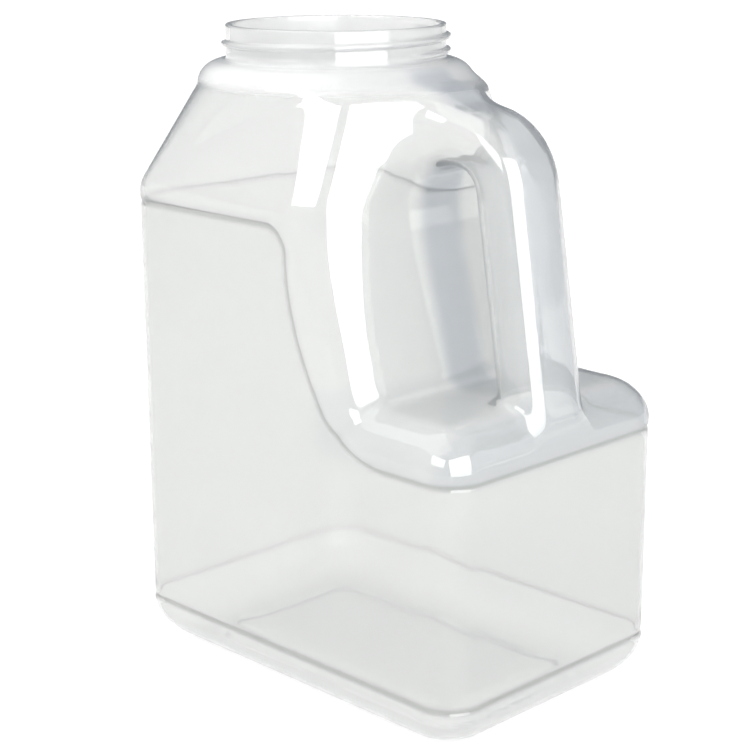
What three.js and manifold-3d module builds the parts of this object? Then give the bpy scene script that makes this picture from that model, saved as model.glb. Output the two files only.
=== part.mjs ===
// A wide-mouth, oblong bottle of clear plastic with a hollow grip, blow-moulded in one piece.
//
// Frame: X runs along the long side, with the grip at +X. Y runs across, and Z is up. The origin is
// the middle of the footprint, on the surface that the bottle stands on. Lengths are millimetres.
//
// A tall, nearly square column under the neck and a long, low foot share one outline at the -X end.
// The foot sticks out past the column at +X, and its top is a ledge. The grip is a bent tube from
// the column's shoulder to that ledge. Outer and inner forms are built alike, a wall apart, and the
// inner one is cut from the outer one. The shell is then divided into its moulded zones, such as
// neck, dome, shoulder, walls, ledge and heel, with a hairline between neighbours.

import * as THREE from 'three';
import { mergeVertices } from 'three/addons/utils/BufferGeometryUtils.js';
import Module from 'manifold-3d';

const wasm = await Module();
wasm.setup();

// ---------------------------------------------------------------- driving dimensions

const LENGTH = 167;
const WIDTH = 112.5;
const HEIGHT = 238;
const WALL = 1.5;
const HAIRLINE = 0.3;

// neck finish: an 83 mm continuous thread, five threads to the inch, one and a quarter turns
const NECK_X = -28;
const NECK_RADIUS = 40.2;
const BORE_RADIUS = 37.8;
const NECK_LENGTH = 12.6;
const RIM_ROUND = 0.6;
const THREAD_DEPTH = 1.6;
const THREAD_HEIGHT = 2.6;
const THREAD_PITCH = 5.08;
const THREAD_TURNS = 1.27;
const THREAD_ROOT_RADIUS = NECK_RADIUS - 0.4;
const THREAD_START_ANGLE = THREE.MathUtils.degToRad(-5);
const THREAD_FIRST_Z = 227.8;

// dome and shoulder under the neck
const DOME_TOP_RADIUS = 41.2;
const DOME_RADIUS = 51;
const DOME_BASE_Z = 216.5;
const SHOULDER_Z = 180;

// column
const REAR_CORNER = 13.4;
const COLUMN_FRONT_X = 25;
const FRONT_CORNER = 17;
const FLARE_TOP_Z = 170;
const FLARE_SLOPE = 0.255;

// foot, ledge and heel
const LEDGE_Z = 115.5;
const LEDGE_ROUND = 15.5;
const LEDGE_CORNER = 6;
const HEEL_DEPTH = 17;
const HEEL_HEIGHT = 18;
const HEEL_CORNER = 13;
const PUSH_UP_INSET = 23;
const PUSH_UP_DEPTH = 2.5;
const PUSH_UP_CORNER = 8;

// grip: a rounded oblong tube that leaves the shoulder, turns down and lands on the ledge
const GRIP_THICKNESS = 20.6;
const GRIP_BREADTH = 29;
const GRIP_CORNER = 8;
const GRIP_ROOT = new THREE.Vector3(8, 0, 211);
const GRIP_ELBOW = new THREE.Vector3(58.5, 0, 200);
const GRIP_FOOT = new THREE.Vector3(72.4, 0, 108);
const ELBOW_RADIUS = 18;

const ARC_STEPS = 7;
const ROUND_STEPS = 5;
const NECK_STEPS = 64;
const THREAD_STEPS = 80;
const GRIP_STEPS = 26;

// ---------------------------------------------------------------- helpers

// A closed three.js geometry as a solid.
function solid(geometry) {
  const bare = new THREE.BufferGeometry();
  bare.setAttribute('position', geometry.getAttribute('position').clone());
  if (geometry.index) bare.setIndex(geometry.index.clone());
  const merged = mergeVertices(bare, 1e-4);
  const corners = merged.index.array;
  const kept = [];
  for (let i = 0; i < corners.length; i += 3) {
    const [a, b, c] = [corners[i], corners[i + 1], corners[i + 2]];
    if (a !== b && b !== c && c !== a) kept.push(a, b, c);
  }
  const vertProperties = new Float32Array(merged.getAttribute('position').array);
  return new wasm.Manifold(new wasm.Mesh({ numProp: 3, vertProperties, triVerts: new Uint32Array(kept) }));
}

// A solid as a three.js geometry.
function geometryOf(manifold) {
  const mesh = manifold.getMesh();
  const geometry = new THREE.BufferGeometry();
  geometry.setAttribute('position', new THREE.BufferAttribute(mesh.vertProperties, 3));
  geometry.setIndex(new THREE.BufferAttribute(mesh.triVerts, 1));
  geometry.computeVertexNormals();
  return geometry;
}

// An oblong outline from x0 to x1 and y -half to +half, with one corner radius at each end.
// Every outline has the same number of points, so outlines can be lofted into each other.
function outline(x0, x1, half, rearRadius, frontRadius) {
  const corners = [
    [x1 - frontRadius, half - frontRadius, frontRadius, 0],
    [x0 + rearRadius, half - rearRadius, rearRadius, 1],
    [x0 + rearRadius, rearRadius - half, rearRadius, 2],
    [x1 - frontRadius, frontRadius - half, frontRadius, 3],
  ];
  return corners.flatMap(([cx, cy, radius, quarter]) =>
    Array.from({ length: ARC_STEPS + 1 }, (_, i) => {
      const angle = (Math.PI / 2) * (quarter + i / ARC_STEPS);
      return new THREE.Vector2(cx + radius * Math.cos(angle), cy + radius * Math.sin(angle));
    }));
}

// A round outline about the neck's axis.
function circle(radius) {
  return outline(NECK_X - radius, NECK_X + radius, radius, radius, radius);
}

// A closed body through a stack of outlines, lowest first.
function loft(levels) {
  const count = levels[0].points.length;
  const positions = levels.flatMap(({ z, points }) => points.flatMap((p) => [p.x, p.y, z]));
  const index = [];
  for (let level = 0; level + 1 < levels.length; level += 1) {
    for (let i = 0; i < count; i += 1) {
      const a = level * count + i;
      const b = level * count + ((i + 1) % count);
      index.push(a, b, b + count, a, b + count, a + count);
    }
  }
  const top = (levels.length - 1) * count;
  for (let i = 1; i + 1 < count; i += 1) {
    index.push(0, i + 1, i, top, top + i, top + i + 1);
  }
  const geometry = new THREE.BufferGeometry();
  geometry.setAttribute('position', new THREE.Float32BufferAttribute(positions, 3));
  geometry.setIndex(index);
  return solid(geometry);
}

// Steps of a quarter turn, from 0 to 90 degrees.
function quarterSteps(steps) {
  return Array.from({ length: steps + 1 }, (_, i) => (Math.PI / 2) * (i / steps));
}

// An upright box between two corners, as a solid.
function box(x0, x1, y0, y1, z0, z1) {
  const geometry = new THREE.BoxGeometry(x1 - x0, y1 - y0, z1 - z0);
  geometry.translate((x0 + x1) / 2, (y0 + y1) / 2, (z0 + z1) / 2);
  return solid(geometry);
}

// An upright prism over a plan polygon, given anticlockwise, as a solid.
function prism(plan, z0, z1) {
  const shape = new THREE.Shape(plan.map(([x, y]) => new THREE.Vector2(x, y)));
  const geometry = new THREE.ExtrudeGeometry(shape, { depth: z1 - z0, bevelEnabled: false });
  geometry.translate(0, 0, z0);
  return solid(geometry);
}

// ---------------------------------------------------------------- forms of the shell
// Each form takes how far it lies inside the outer surface: 0 outside, WALL inside.

// x of the column's front wall at a height: upright above, flaring towards the ledge below.
function columnFront(z) {
  return COLUMN_FRONT_X + FLARE_SLOPE * Math.max(0, FLARE_TOP_Z - z);
}

function column(inset) {
  const rear = -LENGTH / 2 + inset;
  const half = WIDTH / 2 - inset;
  const upright = (z) => ({
    z,
    points: outline(rear, columnFront(z) - inset, half, REAR_CORNER - inset, FRONT_CORNER - inset),
  });
  const levels = [LEDGE_Z - LEDGE_ROUND - 4, FLARE_TOP_Z, SHOULDER_Z].map(upright);
  const rise = HEIGHT - NECK_LENGTH - DOME_BASE_Z;
  for (const angle of quarterSteps(ROUND_STEPS)) {
    levels.push({
      z: DOME_BASE_Z + (rise - inset) * Math.sin(angle),
      points: circle(DOME_TOP_RADIUS - inset + (DOME_RADIUS - DOME_TOP_RADIUS) * Math.cos(angle)),
    });
  }
  if (inset > 0) levels.push({ z: HEIGHT + 1, points: circle(BORE_RADIUS) });
  return loft(levels);
}

// The oblong outline of the foot, drawn in on all sides, with a corner radius of its own.
function footOutline(inset, corner) {
  return outline(-LENGTH / 2 + inset, LENGTH / 2 - inset, WIDTH / 2 - inset, corner, corner);
}

function foot(inset) {
  const heelDepth = HEEL_DEPTH - inset;
  const heelHeight = HEEL_HEIGHT - inset;
  const round = LEDGE_ROUND - inset;
  const levels = [];
  for (const angle of quarterSteps(ROUND_STEPS)) {
    const corner = THREE.MathUtils.lerp(HEEL_CORNER, REAR_CORNER, Math.sin(angle)) - inset;
    levels.push({
      z: HEEL_HEIGHT - heelHeight * Math.cos(angle),
      points: footOutline(inset + heelDepth * (1 - Math.sin(angle)), corner),
    });
  }
  for (const angle of quarterSteps(ROUND_STEPS)) {
    const corner = THREE.MathUtils.lerp(LEDGE_CORNER, REAR_CORNER, Math.cos(angle)) - inset;
    levels.push({
      z: LEDGE_Z - LEDGE_ROUND + round * Math.sin(angle),
      points: footOutline(inset + round * (1 - Math.cos(angle)), corner),
    });
  }
  return loft(levels);
}

// The shallow hollow under the base, which leaves a flat ring to stand on.
function pushUp(growth) {
  const depth = PUSH_UP_DEPTH + growth;
  return loft([
    { z: -1, points: footOutline(PUSH_UP_INSET - 1 - growth, PUSH_UP_CORNER) },
    { z: depth, points: footOutline(PUSH_UP_INSET + PUSH_UP_DEPTH - growth, PUSH_UP_CORNER) },
  ]);
}

// The grip's centre line: two straight runs and an elbow.
function gripPath() {
  const run = GRIP_ELBOW.clone().sub(GRIP_ROOT).normalize();
  const drop = GRIP_FOOT.clone().sub(GRIP_ELBOW).normalize();
  const turn = run.angleTo(drop);
  const reach = ELBOW_RADIUS * Math.tan(turn / 2);
  const before = GRIP_ELBOW.clone().addScaledVector(run, -reach);
  const after = GRIP_ELBOW.clone().addScaledVector(drop, reach);
  const path = new THREE.CurvePath();
  path.add(new THREE.LineCurve3(GRIP_ROOT, before));
  path.add(new THREE.QuadraticBezierCurve3(before, GRIP_ELBOW, after));
  path.add(new THREE.LineCurve3(after, GRIP_FOOT));
  return path;
}

function gripTube(inset) {
  const x = GRIP_BREADTH / 2 - inset;
  const y = GRIP_THICKNESS / 2 - inset;
  const r = GRIP_CORNER - inset;
  const section = new THREE.Shape();
  section.absarc(x - r, y - r, r, 0, Math.PI / 2);
  section.absarc(r - x, y - r, r, Math.PI / 2, Math.PI);
  section.absarc(r - x, r - y, r, Math.PI, Math.PI * 1.5);
  section.absarc(x - r, r - y, r, Math.PI * 1.5, Math.PI * 2);
  return solid(new THREE.ExtrudeGeometry(section, {
    steps: GRIP_STEPS,
    curveSegments: 5,
    extrudePath: gripPath(),
  }));
}

function shellOf() {
  const outer = column(0).add(foot(0)).add(gripTube(0)).subtract(pushUp(0));
  const hollow = column(WALL).add(foot(WALL)).add(gripTube(WALL)).subtract(pushUp(WALL));
  return outer.subtract(hollow);
}

// ---------------------------------------------------------------- neck finish

function neckRing() {
  const low = HEIGHT - NECK_LENGTH + HAIRLINE;
  const profile = [
    new THREE.Vector2(BORE_RADIUS, low),
    new THREE.Vector2(NECK_RADIUS, low),
    new THREE.Vector2(NECK_RADIUS, HEIGHT - RIM_ROUND),
    new THREE.Vector2(NECK_RADIUS - RIM_ROUND, HEIGHT),
    new THREE.Vector2(BORE_RADIUS + RIM_ROUND, HEIGHT),
    new THREE.Vector2(BORE_RADIUS, HEIGHT - RIM_ROUND),
    new THREE.Vector2(BORE_RADIUS, low),
  ];
  const geometry = new THREE.LatheGeometry(profile, NECK_STEPS);
  geometry.rotateX(Math.PI / 2);
  geometry.translate(NECK_X, 0, 0);
  return solid(geometry);
}

// The helix that the thread's root follows, rising as it goes anticlockwise seen from above.
class Helix extends THREE.Curve {
  getPoint(t) {
    const angle = THREAD_START_ANGLE + THREAD_TURNS * t * 2 * Math.PI;
    return new THREE.Vector3(
      NECK_X + THREAD_ROOT_RADIUS * Math.cos(angle),
      THREAD_ROOT_RADIUS * Math.sin(angle),
      THREAD_FIRST_Z + THREAD_PITCH * THREAD_TURNS * t,
    );
  }
}

function threadRidge() {
  const half = THREAD_HEIGHT / 2;
  const crest = half * 0.35;
  const out = THREAD_DEPTH + NECK_RADIUS - THREAD_ROOT_RADIUS;
  const section = new THREE.Shape([
    new THREE.Vector2(-half, 0),
    new THREE.Vector2(half, 0),
    new THREE.Vector2(crest, -out),
    new THREE.Vector2(-crest, -out),
  ]);
  return solid(new THREE.ExtrudeGeometry(section, { steps: THREAD_STEPS, extrudePath: new Helix() }));
}

// ---------------------------------------------------------------- zones of the moulding

const clearPlastic = new THREE.MeshStandardMaterial({ color: 0xe4e6e8, roughness: 0.12, metalness: 0 });
const neckPlastic = new THREE.MeshStandardMaterial({ color: 0xf0f1f2, roughness: 0.15, metalness: 0 });
const group = new THREE.Group();

function addPart(name, manifold, material) {
  const mesh = new THREE.Mesh(geometryOf(manifold), material);
  mesh.name = name;
  group.add(mesh);
}

const shell = shellOf();
const gap = HAIRLINE / 2;
const far = 2 * HEIGHT;

// The part of the shell inside a cell becomes a zone of its own.
function addZone(name, cell) {
  addPart(name, shell.intersect(cell), clearPlastic);
}

// A box cell whose faces keep half a hairline to the neighbouring cells.
function cellBox([x0, x1], [y0, y1], [z0, z1]) {
  return box(x0 + gap, x1 - gap, y0 + gap, y1 - gap, z0 + gap, z1 - gap);
}

// A cell over one quarter of the plan seen from the neck's axis, which points along the given angle.
function quarterCell(angle, reach, z0, z1) {
  const tip = gap * Math.SQRT2;
  const corners = [[tip, 0], [reach, tip - reach], [reach, reach - tip]];
  const plan = corners.map(([along, across]) => [
    NECK_X + along * Math.cos(angle) - across * Math.sin(angle),
    along * Math.sin(angle) + across * Math.cos(angle),
  ]);
  return prism(plan, z0 + gap, z1 - gap);
}

const baseX = LENGTH / 2 - PUSH_UP_INSET - 1;
const baseY = WIDTH / 2 - PUSH_UP_INSET - 1;
const rearX = -LENGTH / 2 + REAR_CORNER;
const endX = LENGTH / 2 - REAR_CORNER;
const frontX = COLUMN_FRONT_X - FRONT_CORNER;
const ledgeLowZ = LEDGE_Z - LEDGE_ROUND;
const ledgeHighZ = LEDGE_Z + 3.5;
const gripX = (COLUMN_FRONT_X + GRIP_ELBOW.x) / 2 + 1;
const bridgeX = COLUMN_FRONT_X + 2;
const bridgeZ = GRIP_ELBOW.z - 14;
const below = [-far, HEEL_HEIGHT];
const across = [-baseY, baseY];
const leftSide = [-far, 0];
const rightSide = [0, far];

addZone('base_panel', cellBox([-baseX, baseX], across, below));
addZone('heel_left', cellBox([-far, far], [-far, -baseY], below));
addZone('heel_right', cellBox([-far, far], [baseY, far], below));
addZone('heel_rear', cellBox([-far, -baseX], across, below));
addZone('heel_end', cellBox([baseX, far], across, below));

addZone('rear_wall', cellBox([-far, rearX], [-far, far], [HEEL_HEIGHT, SHOULDER_Z]));
addZone('side_wall_left', cellBox([rearX, frontX], leftSide, [HEEL_HEIGHT, SHOULDER_Z]));
addZone('side_wall_right', cellBox([rearX, frontX], rightSide, [HEEL_HEIGHT, SHOULDER_Z]));
addZone('foot_wall_left', cellBox([frontX, endX], leftSide, [HEEL_HEIGHT, ledgeLowZ]));
addZone('foot_wall_right', cellBox([frontX, endX], rightSide, [HEEL_HEIGHT, ledgeLowZ]));
addZone('end_wall', cellBox([endX, far], [-far, far], [HEEL_HEIGHT, ledgeLowZ]));
addZone('ledge', cellBox([frontX, far], [-far, far], [ledgeLowZ, ledgeHighZ]));
addZone('front_wall', cellBox([frontX, gripX], [-far, far], [ledgeHighZ, SHOULDER_Z]));

addZone('shoulder_rear', quarterCell(Math.PI, far, SHOULDER_Z, DOME_BASE_Z));
addZone('shoulder_left', quarterCell(-Math.PI / 2, far, SHOULDER_Z, DOME_BASE_Z));
addZone('shoulder_right', quarterCell(Math.PI / 2, far, SHOULDER_Z, DOME_BASE_Z));
addZone('shoulder_front', quarterCell(0, bridgeX - NECK_X - gap, SHOULDER_Z, DOME_BASE_Z));
addZone('grip_handle', cellBox([gripX, far], [-far, far], [ledgeHighZ, bridgeZ]));
addZone('grip_bridge', cellBox([bridgeX, far], [-far, far], [bridgeZ, far]));
addZone('neck_dome', cellBox([-far, bridgeX], [-far, far], [DOME_BASE_Z, HEIGHT - NECK_LENGTH]));
addPart('neck_finish', neckRing().add(threadRidge()), neckPlastic);

export default group;
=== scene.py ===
import math

import bmesh
import bpy
import numpy as np
from mathutils import Matrix, Vector

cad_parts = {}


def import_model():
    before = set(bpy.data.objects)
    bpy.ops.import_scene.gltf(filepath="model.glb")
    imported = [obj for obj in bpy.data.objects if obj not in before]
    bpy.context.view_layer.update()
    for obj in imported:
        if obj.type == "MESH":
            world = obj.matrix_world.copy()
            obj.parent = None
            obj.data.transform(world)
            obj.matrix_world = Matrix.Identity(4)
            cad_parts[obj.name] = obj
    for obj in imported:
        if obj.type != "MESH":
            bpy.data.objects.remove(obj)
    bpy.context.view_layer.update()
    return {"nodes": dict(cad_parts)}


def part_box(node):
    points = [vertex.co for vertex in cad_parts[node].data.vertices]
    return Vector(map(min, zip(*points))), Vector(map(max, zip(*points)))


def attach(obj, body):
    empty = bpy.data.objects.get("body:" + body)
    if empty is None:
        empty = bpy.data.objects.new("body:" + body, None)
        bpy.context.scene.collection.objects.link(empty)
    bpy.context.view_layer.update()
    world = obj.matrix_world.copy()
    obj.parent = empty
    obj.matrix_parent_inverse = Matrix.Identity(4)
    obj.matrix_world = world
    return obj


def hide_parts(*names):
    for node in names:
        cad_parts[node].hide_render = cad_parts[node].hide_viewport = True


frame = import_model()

# A wide-mouth bottle of clear plastic with a hollow grip, blow-moulded in one piece. The whole
# moulding is one closed mesh: an outer skin, and an inner skin a wall's thickness inside it, which
# meet at the rim. The body is the zero surface of a distance field, meshed on a grid and moved on
# to the field's exact surface. The neck is turned, with one column of faces for each edge of the
# body's round opening, so the mesh runs through without a seam.
#
# Lengths are millimetres until the mesh is made, which is in metres.

MM = 0.001


def box_mm(node):
    """The lowest and highest corners of a CAD node, in millimetres."""
    low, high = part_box(node)
    return np.array(low) / MM, np.array(high) / MM


# ---------------------------------------------------------------- sizes from the frame

# Half the hairline that the CAD leaves between neighbouring nodes.
HALF_GAP = 0.15
CORNERS = np.array([box_mm(node) for node in frame["nodes"]])
BODY_LOW, BODY_HIGH = CORNERS[:, 0].min(0), CORNERS[:, 1].max(0)
HALF_LENGTH = (BODY_HIGH[0] - BODY_LOW[0]) / 2
HALF_WIDTH = (BODY_HIGH[1] - BODY_LOW[1]) / 2
HEIGHT = BODY_HIGH[2]
DOME_LOW, DOME_HIGH = box_mm("neck_dome")
DOME_RADIUS = DOME_HIGH[1]
DOME_BASE_Z = DOME_LOW[2] - HALF_GAP
NECK_X = DOME_LOW[0] + DOME_RADIUS
SHOULDER_Z = box_mm("shoulder_rear")[0][2] - HALF_GAP
LEDGE_LOW_Z = box_mm("ledge")[0][2] - HALF_GAP
HEEL_Z = box_mm("heel_left")[1][2] + HALF_GAP

# ---------------------------------------------------------------- sizes of the forms

WALL = 1.2

# The column, the tall part of the body: the radii of its corners in plan, the place and flare of its
# front wall, and how it closes in to the dome. The nose is an (x, y, radius) that the front corners
# pass through on the way.
REAR_CORNER = 13.4
FRONT_CORNER = 16.0
FRONT_CORNER_GROWTH = 8.0
GROWTH_LOW_Z = 136.0
GROWTH_HIGH_Z = 182.0
COLUMN_FRONT_X = 25.0
FRONT_CROWN = 1.5
FLARE_TOP_Z = 170.0
FLARE_SLOPE = 0.255
FLARE_SOFT = 12.0
SHOULDER_SOFT = 3.5
SHOULDER_NOSE = (-8.9, 7.8, 36.0)
NOSE_RISE = 5.5
NOSE_LOW_Z = DOME_BASE_Z - 1
# A share short of 1, where the front and rear corners would fall on one point, and where the dome's
# curve would turn level.
NEARLY_ALL = 0.999

# The foot: the ledge beside the column, the heel round the base, and the base's push-up.
LEDGE_ROUND = 15.5
LEDGE_Z = LEDGE_LOW_Z + LEDGE_ROUND
COLUMN_LOW_Z = LEDGE_LOW_Z - 4
LEDGE_CORNER_GROWTH = 8.0
LEDGE_FALL = 0.4
LEDGE_START_X = 28.5
LEDGE_FILLET = 6.0
LEDGE_FILLET_LOW_Z = LEDGE_LOW_Z + 4
LEDGE_FILLET_RISE = 9.0
HEEL_ROUND = 17.5
HEEL_CORNER_GROWTH = 16.6
PUSH_UP_INSET = 23.0
PUSH_UP_SLOPE = 6.0
PUSH_UP_DEPTH = 2.5

# The label panel and the groove round it. The inner skin repeats the step more softly.
PANEL_DEPTH = 0.25
GROOVE_DEPTH = 0.45
PANEL_EDGE = 2.2
PANEL_INNER_EDGE = 9.0
GROOVE_SHARPNESS = 4
GROOVE_REACH = 3.2
GROOVE_CUTS = 2
# The width of the painted shade line along the groove.
GROOVE_SHADE_WIDTH = 1.1
PANEL_TOP_Z = 173.7
PANEL_FRONT_X = 4.3
PANEL_CURVE = 0.0061
PANEL_CURVE_Z = 166.0
PANEL_CURVE_SOFT = 1.0
PANEL_CORNER = 10.0
PANEL_HOLLOW = 14.0
PANEL_LOW_Z = 97.5

# Where painted shade darkens the plastic, and where it is milky.
SHADE_START_X = 14.0
SHADE_FADE = 8.0
SHADE_RISE = 6.0
SHADE_LEDGE_Z = LEDGE_Z + 8
JOINT_HALF = 13.5
JOINT_FADE = 8.0
GRIP_SHADE_SHARE = 0.55
GRIP_INNER_X = 50.0
LEDGE_SHADE_SHARE = 0.22
LEDGE_END_X = 70.0
HAZE_RISE = 3.5
NECK_HAZE = 0.25

# The grip. Its root, elbow and foot are (x, z) on the bottle's long middle plane.
GRIP_HALF_THICKNESS = 10.3
GRIP_HALF_BREADTH = 14.5
GRIP_CORNER = 8.0
GRIP_ROOT = (8.0, 211.0)
GRIP_ELBOW = (58.5, 200.0)
GRIP_FOOT = (73.2, 108.0)
ELBOW_RADIUS = 19.0
ROOT_FILLET = 18.0
ROOT_LOW_Z = 188.0
ROOT_HIGH_Z = 206.0
ARCH_FILLET = 18.0
FOOT_FILLET = 5.0
ARCH_LOW_Z = LEDGE_Z + 20
ARCH_RISE = 45.0

# The dome and the neck, which is turned from the cut up.
DOME_SOFT = 0.012
DOME_TOP_RADIUS = 41.2
DOME_TOP_Z = 225.4
DOME_END_ANGLE = 78
DOME_RINGS = 7
DOME_SEARCH = (DOME_TOP_RADIUS - 12, DOME_RADIUS + 2)
DOME_SEARCH_HALVINGS = 50
CUT_Z = 222.0
CUT_CLEAR_Z = CUT_Z - 0.5
CUT_CLEAR_FADE = 4.0
NECK_RADIUS = 40.2
NECK_ROOT_ROUND = 0.9
NECK_LOW_GAP = 0.3
NECK_RINGS = 34
BORE_RADIUS = 37.8
BORE_ROUND = 2.2
BORE_RINGS = 6
INNER_DOME_RINGS = 5
INNER_DOME_DROP = WALL * 0.6
RIM_ROUND = 0.6
RIM_STEPS = 4
ROUND_STEPS = 5
THREAD_DEPTH = 1.6
THREAD_HEIGHT = 2.6
THREAD_FLANK = 0.62
THREAD_PITCH = 5.08
THREAD_TURNS = 1.27
THREAD_START = math.radians(-5.0)
THREAD_FIRST_Z = 227.8
THREAD_FADE = math.radians(14.0)

# The grid cells, and how the points are moved on to the surface.
OUTER_CELL = 2.0
INNER_CELL = 2.6
RELAX_SHARE = 0.5
SETTLING_STEPS = 2
LAST_SETTLING_STEPS = 5
GRADIENT_STEP = 0.02
ON_SKIN = 0.3


# ---------------------------------------------------------------- the distance field

def hinge(t, soft):
    """0 below 0 and t above it, bent over twice the width of soft."""
    bent = np.clip(t + soft, 0, 2 * soft)
    return bent * bent / (4 * soft) + np.maximum(t - soft, 0)


def smooth_step(t):
    """Rises from 0 at t = 0 to 1 at t = 1, level at both ends."""
    t = np.clip(t, 0, 1)
    return t * t * (3 - 2 * t)


def oblong(x, y, x0, x1, half, rear, front):
    """Distance to an outline in plan from x0 to x1, with corner radii rear and front."""
    middle = (x0 + x1) / 2
    corner = np.where(x < middle, rear, front)
    qx = np.abs(x - middle) - (x1 - x0) / 2 + corner
    qy = np.abs(y) - half + corner
    return np.hypot(np.maximum(qx, 0), np.maximum(qy, 0)) + np.minimum(np.maximum(qx, qy), 0) - corner


def rounded_max(a, b, radius):
    """Both a and b, with a convex round of a radius where they meet."""
    u, v = a + radius, b + radius
    return np.hypot(np.maximum(u, 0), np.maximum(v, 0)) + np.minimum(np.maximum(u, v), 0) - radius


def rounded_min(a, b, radius):
    """Either a or b, with a concave round of a radius where they meet."""
    return -rounded_max(-a, -b, radius)


def blended_min(a, b, reach):
    """Either a or b, with a soft fillet that starts a reach away from where they meet."""
    reach = np.maximum(reach, 1e-6)
    share = np.maximum(reach - np.abs(a - b), 0) / reach
    return np.minimum(a, b) - share * share * reach / 4


def quarter(t):
    """How far a quarter round has moved inwards, from 0 at t = 0 to 1 at t = 1."""
    return 1 - np.sqrt(1 - np.clip(t, 0, 1) ** 2)


def hull(x, y, rear, front):
    """Distance to the tight band round four circles in plan: one (x, y, radius) at each rear corner
    and one at each front corner."""
    across = np.abs(y)
    rear_x, rear_y, rear_r = rear
    front_x, front_y, front_r = front
    run, rise = front_x - rear_x, front_y - rear_y
    length = np.hypot(run, rise)
    lean = (rear_r - front_r) / length
    level = np.sqrt(1 - lean * lean)
    out_x = (lean * run - level * rise) / length
    out_y = (lean * rise + level * run) / length
    side = (x - rear_x) * out_x + (across - rear_y) * out_y - rear_r
    flat = np.maximum(side, np.maximum(x - front_x - front_r, rear_x - rear_r - x))
    past_front = ((x - front_x) * out_y - (across - front_y) * out_x > 0) & (across > front_y)
    past_rear = ((x - rear_x) * out_y - (across - rear_y) * out_x < 0) & (across > rear_y)
    flat = np.where(past_front, np.hypot(x - front_x, across - front_y) - front_r, flat)
    return np.where(past_rear, np.hypot(x - rear_x, across - rear_y) - rear_r, flat)


def between(first, second, share):
    """The values that lie a share of the way from the first to the second."""
    return [a + share * (b - a) for a, b in zip(first, second)]


def column(x, y, z):
    """The tall part of the body, with its shoulders, which close in to the round dome."""
    share = hinge(z - SHOULDER_Z, SHOULDER_SOFT) / (DOME_BASE_Z - SHOULDER_Z)
    share = 1 - hinge(1 - share, DOME_SOFT)
    front_x = COLUMN_FRONT_X + FLARE_SLOPE * hinge(FLARE_TOP_Z - z, FLARE_SOFT)
    front_x = front_x - FRONT_CROWN * (1 - share) * (y / HALF_WIDTH) ** 2
    round_dome = (NECK_X, 0.0, DOME_RADIUS)
    rear = (REAR_CORNER - HALF_LENGTH, HALF_WIDTH - REAR_CORNER, REAR_CORNER)
    growth = smooth_step((z - GROWTH_LOW_Z) / (GROWTH_HIGH_Z - GROWTH_LOW_Z))
    corner = FRONT_CORNER + FRONT_CORNER_GROWTH * growth
    front = (front_x - corner, HALF_WIDTH - corner, corner)
    rear = between(rear, round_dome, share)
    front = between(front, SHOULDER_NOSE, share)
    front = between(front, round_dome, NEARLY_ALL * smooth_step((z - NOSE_LOW_Z) / NOSE_RISE))
    rise = np.clip((z - DOME_BASE_Z) / (DOME_TOP_Z - DOME_BASE_Z), 0, NEARLY_ALL)
    inset = (DOME_RADIUS - DOME_TOP_RADIUS) * (1 - np.sqrt(1 - rise * rise))
    return np.maximum(hull(x, y, rear, front) + inset, COLUMN_LOW_Z - z)


def foot(x, y, z):
    """The low part of the body: the ledge, the heel's round and the base with its push-up."""
    low = quarter((HEEL_Z - z) / HEEL_Z)
    high = quarter((z - LEDGE_LOW_Z) / LEDGE_ROUND)
    corner = REAR_CORNER + HEEL_CORNER_GROWTH * low + LEDGE_CORNER_GROWTH * high
    side = oblong(x, y, -HALF_LENGTH, HALF_LENGTH, HALF_WIDTH, corner, corner)
    lift = PUSH_UP_DEPTH * smooth_step(-(side + PUSH_UP_INSET) / PUSH_UP_SLOPE)
    top = LEDGE_Z - LEDGE_FALL * smooth_step((x - LEDGE_START_X) / (HALF_LENGTH - LEDGE_START_X))
    return rounded_max(rounded_max(side, z - top, LEDGE_ROUND), lift - z, HEEL_ROUND)


def grip_arc():
    """The elbow's centre and two tangent points, and the directions of the grip before and after
    it, in the plane of x and z."""
    root, elbow, end = (np.array(p) for p in (GRIP_ROOT, GRIP_ELBOW, GRIP_FOOT))
    run = (elbow - root) / np.linalg.norm(elbow - root)
    drop = (end - elbow) / np.linalg.norm(end - elbow)
    turn = math.acos(float(run @ drop))
    reach = ELBOW_RADIUS * math.tan(turn / 2)
    before = elbow - run * reach
    inward = np.array([run[1], -run[0]])
    return before + inward * ELBOW_RADIUS, before, elbow + drop * reach, run, drop


GRIP_CENTRE, GRIP_BEFORE, GRIP_AFTER, GRIP_RUN, GRIP_DROP = grip_arc()


def grip(x, y, z):
    """The grip: a rounded section swept along the root's line, the elbow's arc and the foot's line."""
    def off_line(start, along):
        return (z - start[1]) * along[0] - (x - start[0]) * along[1]
    before = (x - GRIP_BEFORE[0]) * GRIP_RUN[0] + (z - GRIP_BEFORE[1]) * GRIP_RUN[1] < 0
    after = (x - GRIP_AFTER[0]) * GRIP_DROP[0] + (z - GRIP_AFTER[1]) * GRIP_DROP[1] > 0
    round_off = np.hypot(x - GRIP_CENTRE[0], z - GRIP_CENTRE[1]) - ELBOW_RADIUS
    outward = np.where(before, off_line(GRIP_BEFORE, GRIP_RUN), round_off)
    outward = np.where(after, off_line(GRIP_AFTER, GRIP_DROP), outward)
    section = rounded_max(
        np.abs(outward) - GRIP_HALF_THICKNESS, np.abs(y) - GRIP_HALF_BREADTH, GRIP_CORNER)
    ends = np.maximum(GRIP_ROOT[0] - x, GRIP_FOOT[1] - z)
    return np.maximum(section, ends)


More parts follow.
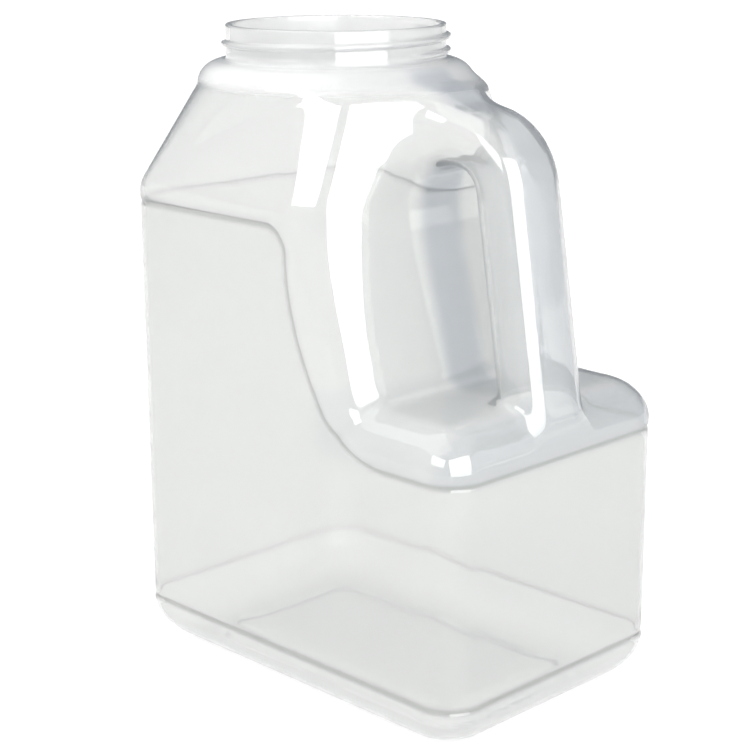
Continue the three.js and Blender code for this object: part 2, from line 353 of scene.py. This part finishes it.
def panel(x, z):
    """Distance to the outline of the label panel, which is below 0 inside it."""
    below = hinge(PANEL_CURVE_Z - z, PANEL_CURVE_SOFT)
    edge = PANEL_FRONT_X + PANEL_CURVE * below * below
    tilt = np.hypot(1, 2 * PANEL_CURVE * below)
    tall = rounded_max((x - edge) / tilt, z - PANEL_TOP_Z, PANEL_CORNER)
    either = rounded_min(tall, z - PANEL_LOW_Z, PANEL_HOLLOW)
    return np.maximum(either, HEEL_Z - z)


def field(x, y, z, edge=PANEL_EDGE):
    """Distance to the outer skin, below 0 in the plastic and in the hollow. The step round the
    label panel is an edge wide."""
    fillet = LEDGE_FILLET * smooth_step((z - LEDGE_FILLET_LOW_Z) / LEDGE_FILLET_RISE)
    body = blended_min(column(x, y, z), foot(x, y, z), fillet)
    high = smooth_step((z - ARCH_LOW_Z) / ARCH_RISE)
    root = smooth_step((z - ROOT_LOW_Z) / (ROOT_HIGH_Z - ROOT_LOW_Z))
    reach = FOOT_FILLET + (ARCH_FILLET - FOOT_FILLET) * high + (ROOT_FILLET - ARCH_FILLET) * root
    reach = reach * smooth_step((CUT_CLEAR_Z - z) / CUT_CLEAR_FADE)
    body = blended_min(body, grip(x, y, z), reach)
    inside = panel(x, z)
    groove = GROOVE_DEPTH * np.exp(-((inside / edge) ** 2) * GROOVE_SHARPNESS)
    return body + PANEL_DEPTH * smooth_step(0.5 - inside / edge) + groove


def skin(points, inset):
    """How far points lie outside the skin at an inset, and the gradient there."""
    edge = PANEL_INNER_EDGE if inset else PANEL_EDGE
    parts = []
    for axis in GRADIENT_STEP * np.eye(3):
        rise = field(*(points + axis).T, edge) - field(*(points - axis).T, edge)
        parts.append(rise / (2 * GRADIENT_STEP))
    return field(*points.T, edge) + inset, np.stack(parts, axis=1)


# ---------------------------------------------------------------- the body's skins

def net(inset, cell):
    """Quads around the surface where the field is -inset, open at CUT_Z: one point in each grid
    cell that the surface crosses, and one quad around each grid edge that it crosses."""
    low = np.array([BODY_LOW[0] - 2 * cell, BODY_LOW[1] - 2 * cell, -2 * cell])
    counts = np.ceil((np.array([BODY_HIGH[0], BODY_HIGH[1], 0]) + 2 * cell - low) / cell).astype(int)
    layers = int(round((CUT_Z - low[2]) / cell))
    low[2] = CUT_Z - layers * cell
    axes = [low[i] + cell * np.arange(n + 1) for i, n in enumerate((counts[0], counts[1], layers))]
    x, y, z = np.meshgrid(*axes, indexing="ij")
    values = field(x, y, z) + inset
    inside = values < 0

    shape = tuple(n - 1 for n in values.shape)
    total = np.zeros(shape + (3,))
    hits = np.zeros(shape)
    edges = []
    for axis in range(3):
        first = [slice(None)] * 3
        second = [slice(None)] * 3
        first[axis] = slice(None, -1)
        second[axis] = slice(1, None)
        a, b = values[tuple(first)], values[tuple(second)]
        crossed = inside[tuple(first)] != inside[tuple(second)]
        at = np.argwhere(crossed)
        share = (a / np.where(crossed, a - b, 1))[crossed]
        point = at.astype(float)
        point[:, axis] += share
        edges.append((axis, at, inside[tuple(first)][crossed]))
        others = [i for i in range(3) if i != axis]
        for back in ((0, 0), (0, 1), (1, 0), (1, 1)):
            cell_at = at.copy()
            cell_at[:, others[0]] -= back[0]
            cell_at[:, others[1]] -= back[1]
            keep = ((cell_at >= 0) & (cell_at < shape)).all(1)
            index = tuple(cell_at[keep].T)
            np.add.at(total, index, point[keep])
            np.add.at(hits, index, 1)
    used = hits > 0
    number = np.full(shape, -1)
    number[used] = np.arange(int(used.sum()))
    points = low + cell * total[used] / hits[used][:, None]

    quads = []
    for axis, at, starts_inside in edges:
        u, v = (axis + 1) % 3, (axis + 2) % 3
        corners = []
        for du, dv in ((-1, -1), (0, -1), (0, 0), (-1, 0)):
            corner = at.copy()
            corner[:, u] += du
            corner[:, v] += dv
            corners.append(corner)
        keep = np.ones(len(at), bool)
        for corner in corners:
            keep &= ((corner >= 0) & (corner < shape)).all(1)
        quad = np.stack([number[tuple(corner[keep].T)] for corner in corners], axis=1)
        flip = ~starts_inside[keep]
        quad[flip] = quad[flip][:, ::-1]
        quads.append(quad)
    return points, np.concatenate(quads)


def opening(quads):
    """The points around the one open edge of the quads, in order."""
    ends = np.concatenate([quads[:, [i, (i + 1) % 4]] for i in range(4)])
    known = {(int(a), int(b)) for a, b in ends}
    follows = {a: b for a, b in known if (b, a) not in known}
    start = min(follows)
    ring = [start]
    while follows[ring[-1]] != start:
        ring.append(follows[ring[-1]])
    assert len(ring) == len(follows), "the body has more than one opening"
    return np.array(ring)


def relax(points, quads, ring, inset, radius, rounds):
    """Evens out the points within the surface, and the ring around its circle."""
    count = len(points)
    ends = np.concatenate([quads[:, [i, (i + 1) % 4]] for i in range(4)])
    start = np.concatenate([ends[:, 0], ends[:, 1]])
    end = np.concatenate([ends[:, 1], ends[:, 0]])
    degree = np.bincount(start, minlength=count)[:, None]
    fixed = np.zeros(count, bool)
    fixed[ring] = True
    free = ~fixed
    for turn in range(rounds):
        last = turn == rounds - 1
        mean = np.stack([
            np.bincount(start, weights=points[end, i], minlength=count) for i in range(3)
        ], axis=1) / degree
        rim = points[ring]
        angle = np.unwrap(np.arctan2(rim[:, 1], rim[:, 0] - NECK_X))
        span = math.copysign(2 * math.pi, angle[-1] - angle[0])
        after = np.append(angle[1:], angle[0] + span)
        before = np.insert(angle[:-1], 0, angle[-1] - span)
        angle = (before + after) / 2
        if not last:
            points = points + RELAX_SHARE * (mean - points) * free[:, None]
        for _ in range(LAST_SETTLING_STEPS if last else SETTLING_STEPS):
            value, gradient = skin(points[free], inset)
            points[free] -= (value / (gradient ** 2).sum(1))[:, None] * gradient
        points[ring] = np.stack([
            NECK_X + radius * np.cos(angle), radius * np.sin(angle), np.full(len(ring), CUT_Z)
        ], axis=1)
    return points


def dome_radius(z, inset):
    """The dome's radius at a height, for a skin that lies an inset inside the outer one."""
    low, high = DOME_SEARCH
    for _ in range(DOME_SEARCH_HALVINGS):
        middle = (low + high) / 2
        if float(field(np.array(NECK_X - middle), np.array(0.0), np.array(z))) + inset < 0:
            low = middle
        else:
            high = middle
    return (low + high) / 2


def body_skin(inset, cell, rounds=10):
    """The points and quads of one skin of the body up to the cut, and the ring of its opening."""
    points, quads = net(inset, cell)
    used = np.unique(quads)
    number = np.full(len(points), -1)
    number[used] = np.arange(len(used))
    points, quads = points[used], number[quads]
    ring = opening(quads)
    points = relax(points, quads, ring, inset, dome_radius(CUT_Z, inset), rounds)
    return points, quads, ring


# ---------------------------------------------------------------- the neck

def thread(angle, z):
    """How far the thread stands out of the neck at an angle and a height."""
    half = THREAD_HEIGHT / 2
    out = np.zeros(np.broadcast(angle, z).shape)
    for lap in range(math.ceil(THREAD_TURNS) + 1):
        along = (angle - THREAD_START) % (2 * math.pi) + 2 * math.pi * lap
        end = THREAD_TURNS * 2 * math.pi
        centre = THREAD_FIRST_Z + THREAD_PITCH * along / (2 * math.pi)
        fade = smooth_step(along / THREAD_FADE) * smooth_step((end - along) / THREAD_FADE)
        flank = smooth_step((half - np.abs(z - centre)) / (half * THREAD_FLANK))
        out = np.maximum(out, THREAD_DEPTH * flank * np.where(along < end, fade, 0))
    return out


def arc(centre_r, centre_z, radius, start, end, steps):
    """Points of an arc of a turned profile, angles in degrees."""
    angles = np.radians(np.linspace(start, end, steps + 1))
    return [(centre_r + radius * math.cos(a), centre_z + radius * math.sin(a)) for a in angles]


def outer_neck_profile():
    """Radius and height from the cut up the dome and the neck to the crown of the rim."""
    profile = []
    start = math.asin((CUT_Z - DOME_BASE_Z) / (DOME_TOP_Z - DOME_BASE_Z))
    top = math.radians(DOME_END_ANGLE)
    for angle in np.linspace(start, top, DOME_RINGS)[1:]:
        profile.append((
            DOME_TOP_RADIUS + (DOME_RADIUS - DOME_TOP_RADIUS) * math.cos(angle),
            DOME_BASE_Z + (DOME_TOP_Z - DOME_BASE_Z) * math.sin(angle),
        ))
    root = NECK_ROOT_ROUND
    profile += arc(NECK_RADIUS + root, DOME_TOP_Z + root, root, 250, 180, ROUND_STEPS)
    low = DOME_TOP_Z + root + NECK_LOW_GAP
    high = HEIGHT - RIM_ROUND
    profile += [(NECK_RADIUS, z) for z in np.linspace(low, high, NECK_RINGS)]
    profile += arc(NECK_RADIUS - RIM_ROUND, high, RIM_ROUND, 0, 90, RIM_STEPS)[1:]
    return profile


def inner_neck_profile(dome_start):
    """Radius and height from the inner cut up the bore to the crown of the rim."""
    top_z = DOME_TOP_Z - INNER_DOME_DROP
    bend = BORE_ROUND
    profile = []
    reach = dome_start - BORE_RADIUS - bend
    for i in range(1, INNER_DOME_RINGS + 1):
        t = i / INNER_DOME_RINGS
        profile.append((
            BORE_RADIUS + bend + reach * math.cos(t * math.pi / 2),
            CUT_Z + (top_z - CUT_Z) * math.sin(t * math.pi / 2),
        ))
    profile += arc(BORE_RADIUS + bend, top_z + bend, bend, 270, 180, ROUND_STEPS)[1:]
    high = HEIGHT - RIM_ROUND
    profile += [(BORE_RADIUS, z) for z in np.linspace(top_z + bend, high, BORE_RINGS)[1:]]
    profile += arc(BORE_RADIUS + RIM_ROUND, high, RIM_ROUND, 180, 90, RIM_STEPS)[1:]
    return profile


def turned(points, ring, profile, displaced):
    """Adds a turned skin on to an open ring. Returns the points, its quads and its last ring."""
    rim = points[ring]
    angle = np.arctan2(rim[:, 1], rim[:, 0] - NECK_X)
    quads = []
    rings = [ring]
    stack = [points]
    number = len(points)
    for radius, z in profile:
        out = radius + (thread(angle, np.full(angle.shape, z)) if displaced else 0)
        stack.append(np.stack([
            NECK_X + out * np.cos(angle), out * np.sin(angle), np.full(angle.shape, z)
        ], axis=1))
        rings.append(np.arange(number, number + len(ring)))
        number += len(ring)
    for below, above in zip(rings, rings[1:]):
        quads.append(np.stack([below, above, np.roll(above, -1), np.roll(below, -1)], axis=1))
    return np.concatenate(stack), np.concatenate(quads), rings[-1]


def zipped(points, outer, inner):
    """Triangles between two rings around the neck that have different numbers of points."""
    def ordered(ring):
        angle = np.arctan2(points[ring, 1], points[ring, 0] - NECK_X)
        order = np.argsort(angle)
        return ring[order], angle[order]
    a, angle_a = ordered(outer)
    b, angle_b = ordered(inner)
    angle_a = np.append(angle_a, angle_a[0] + 2 * math.pi)
    angle_b = np.append(angle_b, angle_b[0] + 2 * math.pi)
    i = j = 0
    faces = []
    while i < len(a) or j < len(b):
        if j == len(b) or (i < len(a) and angle_a[i + 1] <= angle_b[j + 1]):
            faces.append((a[i % len(a)], a[(i + 1) % len(a)], b[j % len(b)]))
            i += 1
        else:
            faces.append((a[i % len(a)], b[(j + 1) % len(b)], b[j % len(b)]))
            j += 1
    return np.array(faces)


def bottle_mesh():
    """The whole moulding: its points in metres, its quads, and the triangles along the rim's crown."""
    points, body, ring = body_skin(0.0, OUTER_CELL)
    points, neck, rim = turned(points, ring, outer_neck_profile(), True)
    inner, inner_body, inner_ring = body_skin(WALL, INNER_CELL)
    start = float(np.hypot(inner[inner_ring[0], 0] - NECK_X, inner[inner_ring[0], 1]))
    inner, inner_neck, inner_rim = turned(inner, inner_ring, inner_neck_profile(start), False)
    shift = len(points)
    quads = np.concatenate([
        body, neck, inner_body[:, ::-1] + shift, inner_neck[:, ::-1] + shift,
    ])
    points = np.concatenate([points, inner])
    crown = zipped(points, rim, inner_rim + shift)
    return points * MM, quads, crown


def refined(mesh):
    """Cuts the outer skin's faces finely along the panel's groove, and moves them on to it. Returns
    the mesh's points in millimetres."""
    shape = bmesh.new()
    shape.from_mesh(mesh)
    co = np.array([v.co for v in shape.verts]) / MM
    outer = np.abs(field(*co.T)) < ON_SKIN
    near = outer & (np.abs(panel(co[:, 0], co[:, 2])) < GROOVE_REACH) & (co[:, 2] < SHOULDER_Z)
    edges = [e for e in shape.edges if near[e.verts[0].index] and near[e.verts[1].index]]
    bmesh.ops.subdivide_edges(shape, edges=edges, cuts=GROOVE_CUTS, use_grid_fill=True)
    shape.to_mesh(mesh)
    shape.free()
    count = len(mesh.vertices)
    co = np.zeros(count * 3)
    mesh.vertices.foreach_get("co", co)
    co = co.reshape(-1, 3) / MM
    moved = np.arange(count) >= len(near)
    moved[:len(near)] = near
    for _ in range(LAST_SETTLING_STEPS):
        value, gradient = skin(co[moved], 0.0)
        co[moved] -= (value / (gradient ** 2).sum(1))[:, None] * gradient
    mesh.vertices.foreach_set("co", (co * MM).ravel().astype(np.float32))
    mesh.update()
    return co


def closed_mesh(name):
    """The bottle's mesh, with the values that its material reads at each point."""
    points, quads, crown = bottle_mesh()
    mesh = bpy.data.meshes.new(name)
    sizes = np.concatenate([np.full(len(quads), 4), np.full(len(crown), 3)])
    corners = np.concatenate([quads.ravel(), crown.ravel()]).astype(np.int32)
    starts = np.concatenate([[0], np.cumsum(sizes)[:-1]]).astype(np.int32)
    mesh.vertices.add(len(points))
    mesh.vertices.foreach_set("co", points.ravel().astype(np.float32))
    mesh.loops.add(len(corners))
    mesh.loops.foreach_set("vertex_index", corners)
    mesh.polygons.add(len(sizes))
    mesh.polygons.foreach_set("loop_start", starts)
    mesh.update(calc_edges=True)
    mesh.validate()
    points = refined(mesh)

    x, y, z = points.T
    inside = panel(x, z)
    outer = np.abs(field(x, y, z)) < ON_SKIN
    spread(mesh, "panel", smooth_step(0.5 - inside / PANEL_EDGE))
    # Painted shade along the mould's joint round the grip, strongest in the grip's hole, and on the
    # ledge.
    spread(mesh, "painted_shade", painted_shade_share(x, y, z))
    spread(mesh, "haze", haze_share(z))
    # Painted shade: a dark line along the panel's groove on the outer skin, below the shoulder.
    spread(mesh, "groove", outer * (z < SHOULDER_Z) * np.exp(-((inside / GROOVE_SHADE_WIDTH) ** 2)))
    mesh.materials.append(clear_plastic())
    mesh.polygons.foreach_set("use_smooth", np.ones(len(mesh.polygons), bool))
    return mesh


def painted_shade_share(x, y, z):
    """Painted shade: how much to darken the plastic along the mould's joint round the grip, most of
    all where the two halves pinch the grip's hole, and on the ledge."""
    hole_shade = GRIP_SHADE_SHARE + (1 - GRIP_SHADE_SHARE) * smooth_step((GRIP_INNER_X - x) / SHADE_FADE)
    joint = hole_shade * smooth_step((JOINT_HALF - np.abs(y)) / JOINT_FADE)
    ledge = LEDGE_SHADE_SHARE + (GRIP_SHADE_SHARE - LEDGE_SHADE_SHARE) * smooth_step((x - LEDGE_END_X) / SHADE_FADE)
    ledge = ledge * smooth_step((SHADE_LEDGE_Z - z) / SHADE_RISE)
    above_foot = smooth_step((z - LEDGE_LOW_Z + SHADE_RISE) / SHADE_RISE)
    front = above_foot * smooth_step((x - SHADE_START_X) / SHADE_FADE)
    return front * np.maximum(joint, ledge)


def haze_share(z):
    """How milky the plastic is: most in the dome, less in the neck."""
    dome = smooth_step((z - DOME_BASE_Z) / HAZE_RISE)
    return dome - (1 - NECK_HAZE) * smooth_step((z - DOME_TOP_Z) / HAZE_RISE)


def spread(mesh, name, values):
    """Stores one value for each point, for a material to read."""
    layer = mesh.attributes.new(name, "FLOAT", "POINT")
    layer.data.foreach_set("value", values.astype(np.float32))


# ---------------------------------------------------------------- the material

REFRACTION = 1.5
WALL_COLOUR = (0.90, 0.905, 0.90)
# Painted shade: the tint that darkens the wall along the panel's groove.
GROOVE_PAINTED_SHADE = (0.55, 0.55, 0.54)
# Painted shade: a cool tint that darkens the wall along the mould's joint round the grip and on the
# ledge.
PAINTED_SHADE_TINT = (0.73, 0.755, 0.795)
PANEL_TINT = (0.965, 0.968, 0.962)
HAZE_TINT = (1.06, 1.06, 1.07)
CLEARNESS = 0.8
MILKY_CLEARNESS = 0.25
GLOSS_ROUGHNESS = 0.055
PANEL_ROUGHNESS = 0.08
WAVE_SCALE = 28.0
WAVE_STRENGTH = 0.06
WAVE_DEPTH = 0.002


def shader(name):
    """A new material with nodes, its tree and its Principled node."""
    material = bpy.data.materials.new(name)
    material.use_nodes = True
    tree = material.node_tree
    return material, tree, tree.nodes["Principled BSDF"]


def add_node(tree, kind, **inputs):
    """A new node, with values for the inputs that are named, _ standing for a space."""
    node = tree.nodes.new(kind)
    for name, value in inputs.items():
        node.inputs[name.replace("_", " ")].default_value = value
    return node


def attribute(tree, name):
    """The output that gives a value which spread() stored."""
    node = tree.nodes.new("ShaderNodeAttribute")
    node.attribute_name = name
    return node.outputs["Fac"]


def tinted(tree, colour, share, tint):
    """A colour multiplied by a tint, as far as a share says."""
    mix = tree.nodes.new("ShaderNodeMix")
    mix.data_type = "RGBA"
    mix.blend_type = "MULTIPLY"
    mix.inputs["B"].default_value = (*tint, 1)
    tree.links.new(share, mix.inputs["Factor"])
    if isinstance(colour, tuple):
        mix.inputs["A"].default_value = (*colour, 1)
    else:
        tree.links.new(colour, mix.inputs["A"])
    return mix.outputs["Result"]


def ranged(tree, share, low, high):
    """A number from low, at a share of 0, to high, at a share of 1."""
    node = add_node(tree, "ShaderNodeMapRange", To_Min=low, To_Max=high)
    tree.links.new(share, node.inputs["Value"])
    return node.outputs["Result"]


def clear_plastic():
    """Semi-clear glossy plastic: rougher on the label panel, with painted shade along the mould's
    joint round the grip, on the ledge and along the panel's groove, milky in the dome and a little in
    the neck, and faintly wavy all over."""
    material, tree, plastic = shader("clear_plastic")
    link = tree.links.new
    plastic.inputs["IOR"].default_value = REFRACTION
    clearness = ranged(tree, attribute(tree, "haze"), CLEARNESS, MILKY_CLEARNESS)
    link(clearness, plastic.inputs["Transmission Weight"])
    # Painted shade along the panel's groove.
    shade = tinted(tree, WALL_COLOUR, attribute(tree, "groove"), GROOVE_PAINTED_SHADE)
    # Painted shade, cool and darker, along the mould's joint round the grip and on the ledge.
    shade = tinted(tree, shade, attribute(tree, "painted_shade"), PAINTED_SHADE_TINT)
    shade = tinted(tree, shade, attribute(tree, "panel"), PANEL_TINT)
    shade = tinted(tree, shade, attribute(tree, "haze"), HAZE_TINT)
    link(shade, plastic.inputs["Base Color"])
    roughness = ranged(tree, attribute(tree, "panel"), GLOSS_ROUGHNESS, PANEL_ROUGHNESS)
    link(roughness, plastic.inputs["Roughness"])
    place = add_node(tree, "ShaderNodeTexCoord")
    waves = add_node(tree, "ShaderNodeTexNoise", Scale=WAVE_SCALE, Detail=1.0)
    bump = add_node(tree, "ShaderNodeBump", Strength=WAVE_STRENGTH, Distance=WAVE_DEPTH)
    link(place.outputs["Object"], waves.inputs["Vector"])
    link(waves.outputs["Fac"], bump.inputs["Height"])
    link(bump.outputs["Normal"], plastic.inputs["Normal"])
    return material


# ---------------------------------------------------------------- the stage

# The room that reflections show: dark walls that turn to a bright ceiling towards the bright side.
BRIGHT_SIDE = Vector((-0.1, -0.4, 0.9))
CEILING_START = 0.1
CEILING_FULL = 0.5
ROOM_WALLS = (0.16, 0.18, 0.21, 1)
ROOM_CEILING = (1.0, 1.0, 0.99, 1)
FLOOR_REACH = 6.0
FLOOR_COLOUR = (0.3, 0.3, 0.3, 1)
FLOOR_ROUGHNESS = 0.9
FLOOR_GLOW = 0.83
CAMERA_AZIMUTH = 45.29
CAMERA_ELEVATION = 15.143
CAMERA_ROLL = -0.235
CAMERA_DISTANCE = 0.6845
CAMERA_TARGET = Vector((-0.008, 0.0, 0.1087))
FOCAL_LENGTH = 87.515
SENSOR_WIDTH = 36
# Each softbox faces the bottle. Its radiance is what a mirror would show of it, and only one that is
# diffuse lights the floor and the bottle's milky parts.
SOFTBOXES = {
    "light_left": dict(
        azimuth=5, elevation=30.5, distance=1.3, width=0.84, height=0.47, radiance=7, diffuse=False),
    "light_right": dict(
        azimuth=73, elevation=20.3, distance=1.3, width=1.47, height=1.17, radiance=7, diffuse=False),
    "light_front": dict(
        azimuth=119, elevation=13, distance=1.3, width=0.84, height=0.8, radiance=1.2, diffuse=False),
    "light_top": dict(
        azimuth=-35, elevation=62, distance=1.5, width=1.5, height=1.5, radiance=1.0, diffuse=True),
}


def direction(azimuth, elevation):
    """The unit vector towards an azimuth, 0 at -Y and 90 at +X, and an elevation, in degrees."""
    a, e = math.radians(azimuth), math.radians(elevation)
    return Vector((math.sin(a) * math.cos(e), -math.cos(a) * math.cos(e), math.sin(e)))


def add_object(name, data):
    """A new object in the scene."""
    thing = bpy.data.objects.new(name, data)
    bpy.context.scene.collection.objects.link(thing)
    return thing


def camera():
    """A camera at the photograph's viewing angle."""
    data = bpy.data.cameras.new("camera")
    data.lens = FOCAL_LENGTH
    data.sensor_width = SENSOR_WIDTH
    data.clip_start = 0.01
    thing = add_object("camera", data)
    back = direction(CAMERA_AZIMUTH, CAMERA_ELEVATION)
    roll = Matrix.Rotation(math.radians(CAMERA_ROLL), 3, "Z").to_quaternion()
    thing.rotation_mode = "QUATERNION"
    thing.rotation_quaternion = back.to_track_quat("Z", "Y") @ roll
    thing.location = CAMERA_TARGET + back * CAMERA_DISTANCE
    bpy.context.scene.camera = thing


def softbox(name, azimuth, elevation, distance, width, height, radiance, diffuse):
    """A rectangular area light that faces the bottle and is hidden from the camera."""
    data = bpy.data.lights.new(name, "AREA")
    data.shape = "RECTANGLE"
    data.size = width
    data.size_y = height
    data.energy = radiance * math.pi * width * height
    thing = add_object(name, data)
    towards = direction(azimuth, elevation)
    thing.location = Vector((0, 0, HEIGHT * MM / 2)) + towards * distance
    thing.rotation_euler = towards.to_track_quat("Z", "Y").to_euler()
    thing.visible_camera = False
    thing.visible_diffuse = diffuse


def floor():
    """A plain pale floor. Most of its brightness is its own glow, near the backdrop's white."""
    mesh = bpy.data.meshes.new("floor")
    reach = FLOOR_REACH
    corners = [(-reach, -reach, 0), (reach, -reach, 0), (reach, reach, 0), (-reach, reach, 0)]
    mesh.from_pydata(corners, [], [(0, 1, 2, 3)])
    thing = add_object("floor", mesh)
    material, tree, paint = shader("floor_white")
    paint.inputs["Base Color"].default_value = FLOOR_COLOUR
    paint.inputs["Roughness"].default_value = FLOOR_ROUGHNESS
    paint.inputs["Emission Color"].default_value = (1, 1, 1, 1)
    paint.inputs["Emission Strength"].default_value = FLOOR_GLOW
    mesh.materials.append(material)


def world():
    """Plain white where the camera looks straight at it, and the room in every other ray."""
    studio = bpy.data.worlds.new("studio")
    studio.use_nodes = True
    tree = studio.node_tree
    backdrop = tree.nodes["Background"]
    backdrop.inputs["Color"].default_value = (1, 1, 1, 1)
    towards = add_node(tree, "ShaderNodeTexCoord")
    along = add_node(tree, "ShaderNodeVectorMath")
    along.operation = "DOT_PRODUCT"
    along.inputs[1].default_value = BRIGHT_SIDE.normalized()
    height = add_node(tree, "ShaderNodeMapRange", From_Min=CEILING_START, From_Max=CEILING_FULL)
    height.interpolation_type = "SMOOTHSTEP"
    shade = add_node(tree, "ShaderNodeMix")
    shade.data_type = "RGBA"
    shade.inputs["A"].default_value = ROOM_WALLS
    shade.inputs["B"].default_value = ROOM_CEILING
    room = tree.nodes.new("ShaderNodeBackground")
    tree.links.new(towards.outputs["Generated"], along.inputs[0])
    tree.links.new(along.outputs["Value"], height.inputs["Value"])
    tree.links.new(height.outputs["Result"], shade.inputs["Factor"])
    tree.links.new(shade.outputs["Result"], room.inputs["Color"])
    path = tree.nodes.new("ShaderNodeLightPath")
    mix = tree.nodes.new("ShaderNodeMixShader")
    tree.links.new(path.outputs["Is Camera Ray"], mix.inputs["Fac"])
    tree.links.new(room.outputs[0], mix.inputs[1])
    tree.links.new(backdrop.outputs[0], mix.inputs[2])
    tree.links.new(mix.outputs[0], tree.nodes["World Output"].inputs["Surface"])
    bpy.context.scene.world = studio


camera()
world()
floor()
for light, settings in SOFTBOXES.items():
    softbox(light, **settings)
scene = bpy.context.scene
scene.view_settings.view_transform = "Standard"
scene.cycles.transparent_max_bounces = 32

bottle = add_object("bottle", closed_mesh("bottle"))
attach(bottle, "root")
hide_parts(*frame["nodes"])
